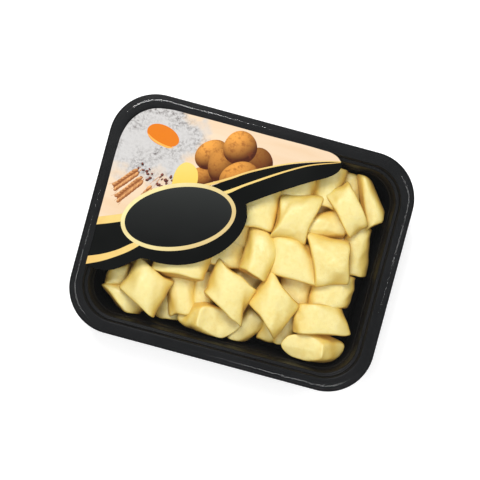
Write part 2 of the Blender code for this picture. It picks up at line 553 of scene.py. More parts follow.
def warp(points, draw):
    """Soft dents: a few slow sine waves in mixed directions, each pushing its own way."""
    scaled = points * np.array([1, 1, 2 / GNOCCO_THICK])
    push = np.zeros(points.shape)
    for size in WARP_SIZES:
        direction, way = draw.normal(0, 1, (2, 3))
        wave = np.sin(scaled @ (direction * size / np.linalg.norm(direction)) + draw.uniform(0, 6.3))
        push += wave[:, None] * way / np.linalg.norm(way) / size
    return WARP_DEPTH * push * np.array([1, 1, GNOCCO_THICK / 2])


def gnocco_form(square, draw, pull=0.1, rim=RIM_ROUNDING, blunt=0.0, slant=0.0):
    """A piece in its own measure: along and across from -1 to 1, and up in mm; poles last.

    Across = reach x cosine, wider at both ends; up = half thickness x reach x sine raised to a
    power, which goes from an almond section (square 0) to a flat-topped one (square 1) and may be
    blunt on one side. Along = station, plus a slant that grows with across, less a hollow that
    each cut pulls in between its corners and a dish in each cut face.
    """
    reach, station = gnocco_rows(rim)
    angle = np.linspace(0, 2 * math.pi, GNOCCO_COLUMNS, endpoint=False)[None, :]
    wave_a, wave_b, wave_c, flare, pinch, crown, lean = draw.uniform(0, 1, 7)
    wobble = 1 + ROUGH_WAVE * np.sin(2 * angle + 2.2 * station + 6.3 * wave_a)
    wobble += ROUGH_WAVE * 0.8 * np.sin(3 * angle - 3.1 * station + 6.3 * wave_b)
    wobble += ROUGH_WAVE * 0.5 * np.sin(5 * angle + 4.3 * station + 6.3 * wave_c)
    side = np.cos(angle) * reach
    across = side * (1.0 + 0.07 * (pinch - 0.35) * (station ** 2 - 0.5)) * wobble
    power = 1.3 - 0.45 * square - blunt * np.clip(np.cos(angle), 0, 1)
    rise = np.sign(np.sin(angle)) * np.abs(np.sin(angle)) ** power
    height = np.where(rise > 0, 1.0, 0.9) * (1 - (0.14 + 0.1 * crown) * station ** 4)
    up = GNOCCO_THICK / 2 * rise * reach * height * wobble + (lean - 0.5) * 1.6 * side * station
    hollow = pull * (0.8 + 0.4 * flare) * (1 - side ** 2) * np.sign(station) * np.abs(station) ** 3
    along = station + slant * side - hollow - FACE_DISH * (1 - reach ** 2) * np.sign(station)
    table = np.stack([along + 0 * across, across, up + 0 * along], axis=-1).reshape(-1, 3)
    poles = [(end * (1 - pull * (0.8 + 0.4 * flare) - FACE_DISH), 0, 0) for end in (-1, 1)]
    table = np.concatenate([table, poles])
    return table + warp(table, draw)


def gnocco_faces():
    """Quads along the rows and a fan to each pole."""
    rows, columns = len(gnocco_rows(RIM_ROUNDING)[0]), GNOCCO_COLUMNS
    quads = grid_faces(rows, columns, ring=True)
    first = np.arange(columns)
    last = first + (rows - 1) * columns
    pole = rows * columns
    start = np.stack([np.roll(first, -1), first, np.full(columns, pole)], axis=-1)
    end = np.stack([last, np.roll(last, -1), np.full(columns, pole + 1)], axis=-1)
    return quads, start, end


print("gnocco rows and columns", len(gnocco_rows(RIM_ROUNDING)[0]), GNOCCO_COLUMNS)


# %% Laying a gnocco
def laid(form, corners, level, lean):
    """Stretch the form over four plan corners in mm, then lean its upright by this much.

    The corners go clockwise from one end of a cut face. Plan = the corners blended in
    proportion to along and across, plus up x lean. Height = level, plus up x what the lean
    leaves of the upright, less the plan's distance along the lean over the same.
    """
    along, across, up = form.T[:, :, None]
    corners = np.array(corners, dtype=float)
    near = (1 - along) * ((1 - across) * corners[0] + (1 + across) * corners[1])
    far = (1 + along) * ((1 - across) * corners[3] + (1 + across) * corners[2])
    plan = (near + far) / 4
    lean = np.array(lean, dtype=float)
    upright = math.sqrt(1 - lean @ lean)
    fall = (plan - corners.mean(axis=0)) @ lean / upright
    height = level + up[:, 0] * upright - fall
    return np.concatenate([plan + up * lean, height[:, None]], axis=1)


def tipped(form, middle, size, turns):
    """Scale the form to a size in mm, then roll it, tip it up and swing it to its heading."""
    roll, pitch, heading = (math.radians(turn) for turn in turns)
    tip = Matrix.Rotation(-pitch, 3, "Y") @ Matrix.Rotation(roll, 3, "X")
    turn = np.array(Matrix.Rotation(heading, 3, "Z") @ tip)
    scale = np.array([size[0] / 2, size[1] / 2, size[2] / GNOCCO_THICK])
    return (form * scale) @ turn.T + np.array(middle)


print("laying ready")

# %% [markdown]
# ## The heap
#
# The pieces that show lie just as they fell, so they are placed one by one: four corners seen from
# above, the height of the middle, which way the top leans and how flat the top is. Two pieces stand
# on end, with a cut face up. The floor under them and the part of the heap under the print
# are filled by staggered rows, each piece a little out of place.

# %% Placed gnocchi
# Four corners clockwise from a cut edge, level, lean of the top, squareness and pull; mm.
LAID = (
    ((-48.5, -72), (-78, -54.5), (-70, -28), (-40.5, -39.5), 31, (0.0, 0.08), 0.7, 0.14),
    ((-76, -47), (-52, -61), (-66, -77), (-93, -57), 20, (0.2, 0.16), 0.6, 0.03),
    ((-91, -46), (-74, -35), (-70, -52), (-91, -57), 20, (0.05, 0.05), 0.5, 0.02),
    ((-55, -6), (-18, -6), (-19.5, -34.5), (-57, -37), 31, (0, 0.2), 0.6, 0.0),
    ((-47, -38), (-27, -31), (-17, -56), (-38, -68), 20, (0.05, 0), 0.7, 0.0),
    ((-30, -27), (-12, -25), (-7, -52), (-26, -55), 18, (0, 0), 0.5, 0.0),
    ((17, -43), (34, -54), (18, -77), (4, -66), 15, (-0.1, 0.08), 0.6, -0.03),
    ((14, -59.5), (-19, -42), (-13, -16), (20.5, -31), 32, (0, 0.06), 0.7, 0.07),
    ((41.5, -62.5), (16.5, -42), (26, -12.5), (53.5, -33.5), 31.5, (-0.05, 0.07), 0.75, 0.14),
    ((41, -40), (57, -38), (56, -65), (40, -66), 14, (0, 0), 0.5, 0.0),
    ((26, -46), (47, -46), (49, -66), (29, -66), 12, (0, 0), 0.5, 0.0),
    ((-53, -50), (-32, -46), (-26, -68), (-48, -70), 11, (0, 0), 0.5, 0.0),
    ((50, -33), (83, -26), (93.5, -46), (52, -55), 27, (0, 0.12), 0.45, -0.05),
    ((57, -10), (88, -1.5), (89, -27.5), (58, -34.5), 23, (0, 0.06), 0.5, -0.02),
    ((34, -9), (60, -11), (61, -38), (35, -38), 18, (0, 0), 0.5, 0.0),
    ((59, -17), (43.5, 20.5), (76.5, 21.5), (84.5, -9), 32, (-0.02, 0.08), 0.75, 0.05),
    ((68, 36), (90.5, 35.5), (95.5, 0), (78, -7), 21, (-0.06, 0), 0.5, 0.0),
    ((77, 22), (48, 52), (62.5, 64.5), (87, 38), 32, (0.0, 0.03), 0.5, -0.06),
    ((69, 71), (81, 70), (99, 46), (86, 29), 22, (-0.06, 0), 0.5, 0.0),
    ((46, 16), (43, 32), (61, 43), (73, 23), 26, (0.05, 0.15), 0.3, -0.25),
    ((19, 7.5), (17, 43), (50.5, 48), (45.5, 11.5), 32, (0, 0.05), 0.7, 0.1),
    ((-12, 43), (19.5, 46), (20.5, 13.5), (-10, 11), 29, (0.02, 0.04), 0.6, 0.0),
    ((23, -23.5), (2, -18), (2, 16), (33, 2.5), 30.5, (0.0, 0.28), 0.8, -0.04),
    ((62.5, -17.5), (24, -17), (17, 12), (49, 12), 29, (0, 0.1), 0.6, 0.05),
    ((-26, 3), (4, 3), (5, -19.5), (-25, -22), 23, (0, 0.1), 0.5, 0.0),
    ((-25, 25), (5, 25), (5, -5), (-24, -5), 22, (0, 0), 0.5, 0.0),
    ((40, 80), (63, 78), (61, 42), (40, 41), 25, (0, 0), 0.5, 0.0),
    ((15, 68), (43, 69), (42.5, 40), (16, 38), 26, (0, 0), 0.6, 0.0),
    ((56, 74), (78, 74), (78, 50), (56, 48), 14, (0, 0), 0.5, 0.0),
    ((36, 57), (61, 57), (59, 29), (34, 27), 15, (0, 0), 0.5, 0.0),
    ((25, 27), (57, 25), (56, -1), (23, -1), 15, (0, 0), 0.5, 0.0),
    ((60, 39), (86, 41), (88, 11), (60, 9), 15, (0, 0), 0.5, 0.0),
    ((-27, -9), (-5, -7), (-8, -39), (-29, -39), 14, (0, 0), 0.5, 0.0),
    ((-5, -11), (27, -13), (25, -41), (-7, -39), 15, (0, 0), 0.5, 0.0),
)
# Middle, size and turns about the roll, up and to the heading, of the two that stand on end.
TIPPED = (
    ((-9.0, -60.5, 24), (21.5, 24.5, 25.5), (90, 35, -1)),
    ((70.5, -62, 24), (21, 24.5, 25), (90, 35, 188)),
)
STAND_SLANT = -0.97
WALL_TOP = 29.0
WALL_INSET = 17.2
WALL_SLOPE = 0.13
LOWEST_DOUGH = 2.7
HIGHEST_DOUGH = 44.4
UPPER_LEVEL = 29.0
LOWER_LEVEL = 12.0
CLEAR_RADIUS = 23.0
FILL_SEED = 5


def filled_level(level, draw, keeps):
    """Staggered rows over the heap's plan at one level, where keeps(x, y) says there is room."""
    rows = []
    half_x, half_y = heap_high[0] / MM - 14, heap_high[1] / MM - 13
    for row, y in enumerate(np.arange(-half_y, half_y + 1, 2 * half_y / 4)):
        for x in np.arange(-half_x + 8 * (row % 2), half_x + 1, 2 * half_x / 5.6):
            middle = (x + draw.uniform(-3, 3), y + draw.uniform(-2, 2), level + draw.uniform(-1, 1))
            turns = (draw.uniform(-6, 6), 0, draw.uniform(-90, 90))
            size = (draw.uniform(27, 30), draw.uniform(25, 27.5), GNOCCO_THICK)
            if keeps(middle):
                rows.append((middle, size, turns))
    return rows


def room_for(middle):
    """True where no laid piece of about this level lies within CLEAR_RADIUS."""
    near = [np.mean(row[:4], axis=0) for row in LAID if abs(row[4] - middle[2]) < 9]
    return np.hypot(*(np.array(near) - middle[:2]).T).min() > CLEAR_RADIUS


def under_print(middle):
    """True past the slanting line that the print covers, clear of the laid pieces."""
    return middle[1] > 20 + 0.62 * middle[0] and room_for(middle)


draw = np.random.default_rng(FILL_SEED)
FILLED = filled_level(LOWER_LEVEL, draw, room_for) + filled_level(UPPER_LEVEL, draw, under_print)
print("gnocchi laid", len(LAID), "on end", len(TIPPED), "filled", len(FILLED))


# %% Heap mesh
def press_inside(points):
    """Press points in mm that pass the tray's wall, floor or film flat: the soft dough gives way.

    The wall's inset grows with depth; outside its straight runs, the limit is a corner arc.
    """
    inset = WALL_INSET + WALL_SLOPE * np.clip(WALL_TOP - points[:, 2], 0, None)
    half = np.array([HALF_LENGTH, HALF_WIDTH]) / MM - inset[:, None]
    radius = TRAY_CORNER / MM - CORNER_TAPER * inset
    middle = half - radius[:, None]
    offset = np.abs(points[:, :2]) - middle
    past = np.clip(offset, 0, None)
    reach = np.hypot(*past.T)
    shrink = np.minimum(1, radius / np.maximum(reach, 1e-6))
    plan = np.where(offset > 0, middle + past * shrink[:, None], np.abs(points[:, :2]))
    height = np.clip(points[:, 2:], LOWEST_DOUGH, HIGHEST_DOUGH)
    return np.concatenate([np.sign(points[:, :2]) * plan, height], axis=1)


def heap_mesh():
    """All the gnocchi as one joined table of points in metres, with the faces of each."""
    quads, start, end = gnocco_faces()
    clouds, groups, count = [], [], 0
    for number, (*corners, level, lean, square, pull) in enumerate(LAID):
        form = gnocco_form(square, np.random.default_rng(100 + number), pull)
        clouds.append(press_inside(laid(form, corners, level, lean)) * MM)
    for number, (middle, size, turns) in enumerate(TIPPED):
        draw = np.random.default_rng(200 + number)
        form = gnocco_form(0.0, draw, rim=0.08, blunt=0.8, slant=STAND_SLANT)
        clouds.append(press_inside(tipped(form, middle, size, turns)) * MM)
    for number, (middle, size, turns) in enumerate(FILLED):
        form = gnocco_form(0.5, np.random.default_rng(300 + number))
        clouds.append(press_inside(tipped(form, middle, size, turns)) * MM)
    for cloud in clouds:
        groups += [quads + count, start + count, end + count]
        count += len(cloud)
    return np.concatenate(clouds), groups


def add_painted_shade(piece, points):
    """Store on each point its painted shade: 1 low down or on a steep side, 0 on a crown."""
    normals = np.zeros(len(points) * 3)
    piece.data.vertices.foreach_get("normal", normals)
    # Painted shade: the dough's colour darkens and warms where the surface tilts away from up and where it
    # lies low.
    upward = np.clip(normals.reshape(-1, 3)[:, 2], 0, 1)
    low_shade = np.clip((38 - points[..., 2].ravel() / MM) / 28, 0, 1)
    painted_shade = np.clip(1.05 * (1 - upward ** 2) + 0.12 * low_shade, 0, 1)
    stored = piece.data.attributes.new("painted_shade", "FLOAT", "POINT")
    stored.data.foreach_set("value", painted_shade.astype(np.float32))


def dough_finish():
    """Moist boiled dough: pale crowns, painted warm shade on steep and low parts, faint lumps, uneven
    satin.
    """
    finish, shader, place = new_finish("potato_dough")
    tree = finish.node_tree
    painted_shade = tree.nodes.new("ShaderNodeAttribute")
    painted_shade.attribute_name = "painted_shade"
    crown = drift(finish, place, linear(231, 216, 146), linear(228, 208, 130), 60.0)
    crown = drift(finish, place, crown, linear(233, 219, 150), 260.0)
    # Painted shade: the side colours and the dark ochre below replace the crown colour on steep and low
    # points, by the stored shade attribute.
    side = drift(finish, place, linear(229, 200, 104), linear(224, 188, 88), 90.0)
    side_shade_mask = remap(tree, painted_shade.outputs["Fac"], 0.08, 0.6, 0.0, 1.0)
    deep_shade_mask = remap(tree, painted_shade.outputs["Fac"], 0.62, 1.0, 0.0, 1.0)
    colour = blend(tree, deep_shade_mask, blend(tree, side_shade_mask, crown, side), linear(212, 168, 80))
    fleck = remap(tree, noise(tree, place, 700.0, detail=3.0), 0.62, 0.74, 0.0, 0.35)
    colour = blend(tree, fleck, colour, linear(214, 176, 96))
    wire(finish, colour, shader.inputs["Base Color"])
    gloss(finish, shader, place, 120.0, 0.34, 0.5)
    shader.inputs["Subsurface Weight"].default_value = 0.2
    shader.inputs["Subsurface Scale"].default_value = 0.003
    shader.inputs["Subsurface Radius"].default_value = (0.9, 0.8, 0.35)
    shader.inputs["Specular IOR Level"].default_value = 0.4
    lumps = noise(tree, place, 130.0, detail=2.0)
    bump(finish, shader, lumps, 0.5, 0.0016)
    return finish


points, faces = heap_mesh()
print("heap box mm", (points.min(axis=0) / MM).round(1), (points.max(axis=0) / MM).round(1))
gnocchi = mesh_object("gnocchi", points, faces, dough_finish())
# Painted shade on the steep and low points of the dough.
add_painted_shade(gnocchi, points)
keep(gnocchi, "gnocchi_heap")

# %% [markdown]
# ### The heap's hidden middle
#
# Under the pieces that show, a real tray holds more of the same, packed so that hardly any floor
# shows through. One low lumpy mound of dough stands for that hidden layer.

# %% Core
CORE_INSET = 34 * MM
CORE_HEIGHT = 17.5 * MM


def core_points():
    """A rounded rectangle shrunk towards the middle: a steep side, then a flat top with low waves.

    Height = foot + rise x (1 - (1 - share) to the ninth), plus sine x cosine waves.
    """
    share = np.linspace(0, 0.9, 14) ** 1.5
    height = 3 * MM + (CORE_HEIGHT - 3 * MM) * (1 - (1 - share) ** 9)
    rim = rounded_rings([CORE_INSET], [0.0])
    points = rim * (1 - share)[:, None, None]
    points[..., 2] = height[:, None]
    waves = np.sin(points[..., 0] / (6 * MM)) * np.cos(points[..., 1] / (5 * MM))
    points[..., 2] += 0.9 * MM * waves * share[:, None]
    return points


points, faces = closed_floor(core_points())
core = mesh_object("gnocchi_core", points, faces, gnocchi.data.materials[0])
# The core takes the same painted shade, darker and warmer where it lies low.
add_painted_shade(core, points)
add_thickness(core, 1.5 * MM)
keep(core, "gnocchi_heap")

# %% [markdown]
# ## Clear lidding film
#
# The film is a thin cut sheet welded to the flange, a millimetre or two inside the tray's edge.
# It is clear, so its finish lets light straight through and adds only what the surface mirrors,
# as much as Fresnel's law gives. Faint waves from its tension bend that reflection.

# %% Film
FILM_INSET = 1.5 * MM
FILM_SHEET = 0.1 * MM
FILM_LIFT = 0.08 * MM


def film_points():
    """Rings of the cut sheet from its edge inwards, all at the film's one height above the flange."""
    inset = np.concatenate([[FILM_INSET], np.linspace(5, 30, 8) * MM])
    points = rounded_rings(inset, np.full(len(inset), TRAY_TOP + FILM_LIFT))
    return points


def clear_finish():
    """Clear film: see-through, and mirror-like on its outer face by as much as Fresnel gives."""
    finish, shader, place = new_finish("clear_film")
    nodes = finish.node_tree.nodes
    shader.inputs["Base Color"].default_value = (1, 1, 1, 1)
    shader.inputs["Metallic"].default_value = 1.0
    film_sheen(finish, shader, place, 0.04, 0.12)
    clear = nodes.new("ShaderNodeBsdfTransparent")
    edge = nodes.new("ShaderNodeFresnel")
    edge.inputs["IOR"].default_value = 1.35
    mixed = nodes.new("ShaderNodeMixShader")
    backfacing = nodes.new("ShaderNodeNewGeometry").outputs["Backfacing"]
    outer_only = combine(finish.node_tree, "SUBTRACT", edge.outputs["Fac"], backfacing)
    outer_only.node.use_clamp = True
    wire(finish, outer_only, mixed.inputs["Fac"])
    wire(finish, clear.outputs["BSDF"], mixed.inputs[1])
    wire(finish, shader.outputs["BSDF"], mixed.inputs[2])
    wire(finish, mixed.outputs["Shader"], nodes["Material Output"].inputs["Surface"])
    return finish


points, faces = closed_floor(film_points(), shares=(0.85, 0.7, 0.55, 0.4, 0.25, 0.1))
film = mesh_object("lid_film_clear", points, faces, clear_finish())
add_thickness(film, FILM_SHEET, offset=1.0)
keep(film, "lid_film")

# %% [markdown]
# ## The print
#
# The film's upper left part is printed: a pale picture of cooking things, crossed by a black
# sweep with pale gold edges that carries a dark oval badge. The badge is left bare. Ink is only
# a few hundredths of a millimetre thick, so each field is a thin sheet laid on the film: either
# a band between two smooth lines or a round field about a middle, each one ink step higher.

# %% Smooth lines, bands and round fields
INK = 0.012 * MM
INK_STEP = 0.02 * MM
PRINT_FLOOR = TRAY_TOP + FILM_LIFT + FILM_SHEET + 0.02 * MM
PRINT_LEFT = -105.0


def smooth_line(stops, count=90):
    """A cubic through a few places: each stretch blends its two ends and the slopes there."""
    stops = np.array(stops, dtype=float)
    chord = np.concatenate([[0], np.cumsum(np.linalg.norm(np.diff(stops, axis=0), axis=1))])
    slope = np.gradient(stops, chord, axis=0)
    place = np.linspace(0, chord[-1], count)
    here = np.clip(np.searchsorted(chord, place, side="right") - 1, 0, len(chord) - 2)
    gap = (chord[here + 1] - chord[here])[:, None]
    share = (place[:, None] - chord[here][:, None]) / gap
    start = (1 + 2 * share) * stops[here] + share * gap * slope[here]
    end = (3 - 2 * share) * stops[here + 1] - (1 - share) * gap * slope[here + 1]
    return (1 - share) ** 2 * start + share ** 2 * end


def band(first, second, rows=5):
    """A table of places between two lines of equal count, as mm; rows run from one to the other."""
    share = np.linspace(0, 1, rows)[:, None, None]
    return (1 - share) * first[None] + share * second[None]


def round_field(middle, half, tilt=0.0, reaches=(0.35, 0.7, 0.9, 1.0), spokes=56, wave=0.0, seed=0):
    """Rings about a middle: an ellipse of these half axes, tilted, its edge waved a little."""
    angle = np.linspace(0, 2 * math.pi, spokes, endpoint=False)
    phase = np.random.default_rng(seed).uniform(0, 6.3, 2)
    edge = 1 + wave * (np.sin(2 * angle + phase[0]) + 0.6 * np.sin(3 * angle + phase[1]))
    x, y = half[0] * np.cos(angle) * edge, half[1] * np.sin(angle) * edge
    cosine, sine = math.cos(math.radians(tilt)), math.sin(math.radians(tilt))
    plan = np.stack([x * cosine - y * sine, x * sine + y * cosine], axis=-1)
    return np.array(middle) + np.array(reaches)[:, None, None] * plan[None]


def at_level(plan, step):
    """Lift a table of places in mm onto the film, this many ink steps up, in metres."""
    level = np.full((*plan.shape[:-1], 1), PRINT_FLOOR + step * INK_STEP)
    return np.concatenate([plan * MM, level], axis=-1)


class Ink:
    """Fields of one ink gathered into one mesh, with a shade from 0 to 1 on every point."""

    def __init__(self):
        """Start with no fields."""
        self.points, self.faces, self.shades, self.count = [], [], [], 0

    def add(self, points, faces, shade):
        """Append a field's points and faces, and one shade for all of it or one for each point."""
        points = points.reshape(-1, 3)
        self.points.append(points)
        self.faces += [group + self.count for group in faces]
        self.shades.append(np.broadcast_to(np.ravel(shade), points.shape[:1]))
        self.count += len(points)

    def add_band(self, plan, step, shade=0.5, ring=False):
        """A band's quads, turned to face up; a ring's last column joins its first."""
        faces = grid_faces(*plan.shape[:2], ring=ring)
        corner = plan.reshape(-1, 2)[faces[0]]
        turn = np.cross(corner[1] - corner[0], corner[2] - corner[0])
        self.add(at_level(plan, step), [faces if turn > 0 else faces[:, ::-1]], shade)

    def add_round(self, plan, step, shade=0.5):
        """A round field's rings and the fan about its middle."""
        rows, count = plan.shape[:2]
        faces = grid_faces(rows, count, ring=True)[:, ::-1]
        index = np.arange(count)
        fan = np.stack([index, np.roll(index, -1), np.full(count, rows * count)], axis=-1)
        middle = plan[0].mean(axis=0)[None]
        points = np.concatenate([plan.reshape(-1, 2), middle])
        if np.ndim(shade):
            shade = np.concatenate([np.ravel(shade), [float(np.mean(shade[0]))]])
        self.add(at_level(points, step), [faces, fan], shade)

    def make(self, name, finish):
        """Join the fields into one thin sheet on the film, flat-shaded as ink has no roundness."""
        made = mesh_object(name, np.concatenate(self.points), self.faces, finish)
        shade = made.data.attributes.new("shade", "FLOAT", "POINT")
        shade.data.foreach_set("value", np.concatenate(self.shades).astype(np.float32))
        made.data.shade_flat()
        add_thickness(made, INK, offset=1.0)
        return keep(made, "lid_film")


print("print floor mm", round(PRINT_FLOOR / MM, 3))


# %% Ink finishes
def ink_finish(name, dark, light, mottle=0.0, mottle_colour=None, scale=300.0, smooth=0.1):
    """Printed ink: two colours by the shade attribute, mottled by noise, with the film's gloss."""
    finish, shader, place = new_finish(name)
    tree = finish.node_tree
    shade = tree.nodes.new("ShaderNodeAttribute")
    shade.attribute_name = "shade"
    colour = blend(tree, shade.outputs["Fac"], dark, light)
    speckle = remap(tree, noise(tree, place, scale, detail=4.0, roughness=0.65), 0.48, 0.68, 0.0, mottle)
    colour = blend(tree, speckle, colour, mottle_colour or dark)
    wire(finish, colour, shader.inputs["Base Color"])
    film_sheen(finish, shader, place, smooth, smooth + 0.1)
    return finish


FLOUR_MIDDLE = (-85.0 * MM, 57.0 * MM)
FLOUR_HALF = (42.0 * MM, 34.0 * MM)
PLANK_TURN = -20


def panel_finish():
    """The picture's ground: pale peach board with soft planks, and a cloud of grey-white flour.

    The cloud covers where the distance from its middle, counted in its half axes, plus a ragged
    noise, is under about one.
    """
    finish, shader, place = new_finish("panel_ink")
    tree = finish.node_tree
    planks = mapped(tree, place, turn=PLANK_TURN, scale=(12, 90, 1))
    streak = remap(tree, noise(tree, planks, 1.0, detail=3.0), 0.35, 0.65, 0, 1)
    board = blend(tree, streak, linear(229, 206, 178), linear(225, 196, 162))
    shift = [-middle / half for middle, half in zip(FLOUR_MIDDLE, FLOUR_HALF)]
    cloud = mapped(tree, place, shift=(*shift, 0), scale=(1 / FLOUR_HALF[0], 1 / FLOUR_HALF[1], 0))
    distance = tree.nodes.new("ShaderNodeVectorMath")
    distance.operation = "LENGTH"
    wire(finish, cloud, distance.inputs[0])
    frayed = remap(tree, noise(tree, place, 70.0, detail=4.0), 0.3, 0.7, -0.25, 0.25)
    ragged = combine(tree, "ADD", distance.outputs["Value"], frayed)
    floury = remap(tree, ragged, 0.78, 1.08, 1.0, 0.0)
    clump = remap(tree, noise(tree, place, 420.0, detail=4.0, roughness=0.75), 0.44, 0.66, 0.0, 1.0)
    ridge = remap(tree, noise(tree, place, 45.0, detail=1.0), 0.42, 0.62, 0.15, 1.0)
    shadow = combine(tree, "MULTIPLY", clump, ridge)
    flour = blend(tree, shadow, linear(200, 198, 196), linear(108, 102, 100))
    colour = blend(tree, floury, board, flour)
    wire(finish, colour, shader.inputs["Base Color"])
    film_sheen(finish, shader, place, 0.1, 0.2)
    return finish


# %% [markdown]
# ### Ground, sweep and gold lines
#
# The ground runs up the left side, round the corner and along the top to a rounded tip. The
# black sweep widens from that tip down to the left, with a bulge round the badge. Two gold lines
# run along it towards the tip, and two gold bands leave the badge on the left.

# %% Ground and sweep
ground_edge = smooth_line([
    (PRINT_LEFT, -10), (PRINT_LEFT, 20), (PRINT_LEFT, 42), (-104.2, 54), (-101.2, 63.5), (-95.5, 71.5),
    (-87, 77.2), (-76, 79.6), (-58, 80), (0, 80), (38, 80), (46, 79.6), (51, 77.8), (54, 75), (55, 73),
], count=140)
ground_seam = smooth_line([
    (PRINT_LEFT, -12), (-88, -5), (-60, 12), (-36, 31), (-20, 41.5), (0, 54), (20, 63.5), (40, 70.5),
    (54.6, 72.5),
], count=140)
ground = Ink()
ground.add_band(band(ground_edge, ground_seam, rows=12), 0)
ground.make("print_ground", panel_finish())

SWEEP_TOP = smooth_line([
    (PRINT_LEFT, -13), (-88, -6.5), (-60, 10), (-36, 31), (-20, 42.3), (-10, 49), (0, 54.8), (20, 64.3),
    (40, 71.3), (50, 74.2), (54.5, 75.2),
])
SWEEP_FOOT = smooth_line([
    (PRINT_LEFT, -44), (-96, -45.5), (-87, -43.8), (-72, -32.8), (-50, -16), (-25, 12), (-4, 28.3),
    (13, 40.3), (38, 56.3), (49, 62.8), (53.6, 67), (55.3, 71), (55, 75),
])
HALO_EDGE = smooth_line([
    (-70, -31), (-66, -29.3), (-56, -29.8), (-42, -28), (-29, -23), (-18, -15.5), (-8, -4.5),
    (-2, 8), (-1, 18), (-4.5, 29),
])
HALO_SEAM = smooth_line([(-72, -20), (-50, -10), (-25, 12), (-12, 27)])
sweep = Ink()
sweep.add_band(band(SWEEP_TOP, SWEEP_FOOT, rows=10), 4)
sweep.add_band(band(HALO_EDGE, HALO_SEAM, rows=4), 4.5)
sweep.make("print_sweep", ink_finish("sweep_ink", linear(3, 5, 4), linear(6, 8, 7)))


# %% Gold lines
def gold_line(ink, upper, lower, shade_left, shade_right):
    """A band between two edges, its shade going from one end to the other."""
    plan = band(smooth_line(upper), smooth_line(lower), rows=3)
    shade = np.broadcast_to(np.linspace(shade_left, shade_right, plan.shape[1]), plan.shape[:2])
    ink.add_band(plan, 6, shade)


gold = Ink()
# Each line's upper and lower edge in mm, then its shade at the left and at the right end.
GOLD_LINES = (
    (((PRINT_LEFT, -8.6), (-96, -5.0), (-88, -1.5), (-82, 2)),
     ((PRINT_LEFT, -14.5), (-96, -11), (-88, -7.6), (-82, -5)), 0.7, 1.0),
    (((PRINT_LEFT, -38), (-96, -34.2), (-86, -28.4), (-76, -20.5), (-70, -16.5)),
     ((PRINT_LEFT, -44), (-96, -39.8), (-86, -33.6), (-76, -26), (-70, -20)), 0.45, 1.0),
    (((-40, 32.5), (-30, 38), (-20, 44), (-10, 50.6), (0, 56.1), (20, 65.4), (40, 72.2), (54, 75.6)),
     ((-40, 29.5), (-30, 36), (-20, 42.2), (-10, 49), (0, 54.7), (20, 64.5), (40, 71.6), (54, 75.2)),
     0.6, 0.9),
    (((-24, 31.5), (-20, 34), (-10, 41), (0, 47.8), (10, 54.4), (20, 60.5), (30, 66), (54, 75.1)),
     ((-24, 29), (-19, 31.8), (-10, 39), (0, 46), (10, 52.8), (20, 59.2), (30, 65), (54, 74.6)),
     1.0, 0.4),
)
for line in GOLD_LINES:
    gold_line(gold, *line)
gold.make("print_gold", ink_finish("gold_ink", linear(222, 172, 94), linear(230, 205, 126), 0.35,
                                   linear(214, 168, 100), scale=60.0))

# %% Bare badge
BADGE_MIDDLE = (-49.2, 6.2)
BADGE_TILT = 23.3
BADGE_HALF = (42.0, 24.2)
BADGE_RIM = 2.9
BADGE_REACH = (0.2, 0.4, 0.6, 0.8, 0.92, 1.0)


def badge_ring(shrink_outer, shrink_inner):
    """A ring between two ellipses about the badge's middle."""
    outer = round_field(BADGE_MIDDLE, [half - shrink_outer for half in BADGE_HALF], BADGE_TILT, (1.0,), 120)
    inner = round_field(BADGE_MIDDLE, [half - shrink_inner for half in BADGE_HALF], BADGE_TILT, (1.0,), 120)
    return np.concatenate([inner, outer])


def lit_from(plan, middle, half, bearing):
    """Shade that falls from 1 to 0 across a field, away from this bearing."""
    towards = np.array([math.cos(math.radians(bearing)), math.sin(math.radians(bearing))])
    return np.clip(0.5 + 0.5 * ((plan - np.array(middle)) @ towards) / half, 0, 1)


badge_rim = Ink()
ring = badge_ring(0.0, BADGE_RIM)
badge_rim.add_band(ring, 7, lit_from(ring, BADGE_MIDDLE, 42, 160), ring=True)
badge_rim.make("print_badge_rim", ink_finish("rim_ink", linear(206, 180, 124), linear(235, 225, 164), 0.4,
                                             linear(204, 172, 114), scale=50.0))
badge = Ink()
badge_half = [half - BADGE_RIM + 0.3 for half in BADGE_HALF]
field = round_field(BADGE_MIDDLE, badge_half, BADGE_TILT, BADGE_REACH, 120)
badge.add_round(field, 6.5, lit_from(field, BADGE_MIDDLE, 26, 100) ** 1.5)
badge.make("print_badge", ink_finish("badge_ink", linear(12, 14, 14), linear(48, 50, 49)))

# %% [markdown]
# ### The picture's things
#
# Potatoes, a cut half, an egg yolk, wheat ears and dark grains are simple round fields. Each
# point carries a shade worked out as if the field were a ball lit from the upper left, so a flat
# print still shows round things.

# %% Ball shading and potatoes
LIGHT = np.array([-0.45, 0.6, 0.66])
BALL_REACH = (0.15, 0.35, 0.55, 0.72, 0.85, 0.94, 1.0)


def ball_shade(plan, middle, half, tilt=0.0):
    """Light on a ball squashed into this ellipse: its normal's height is what the plan leaves."""
    turn = math.radians(tilt)
    offset = plan - np.array(middle)
    along = (offset[..., 0] * math.cos(turn) + offset[..., 1] * math.sin(turn)) / half[0]
    across = (offset[..., 1] * math.cos(turn) - offset[..., 0] * math.sin(turn)) / half[1]
    up = np.sqrt(np.clip(1 - along ** 2 - across ** 2, 0.02, 1))
    x = along * math.cos(turn) - across * math.sin(turn)
    y = along * math.sin(turn) + across * math.cos(turn)
    return np.clip(x * LIGHT[0] + y * LIGHT[1] + up * LIGHT[2], 0, 1) ** 1.3


def add_ball(ink, middle, half, tilt, step, dim=1.0, seed=0, wave=0.03):
    """A round field with ball shading, dimmed where it lies behind others."""
    plan = round_field(middle, half, tilt, BALL_REACH, wave=wave, seed=seed)
    ink.add_round(plan, step, dim * ball_shade(plan, middle, (half[0] * 1.05, half[1] * 1.05), tilt))


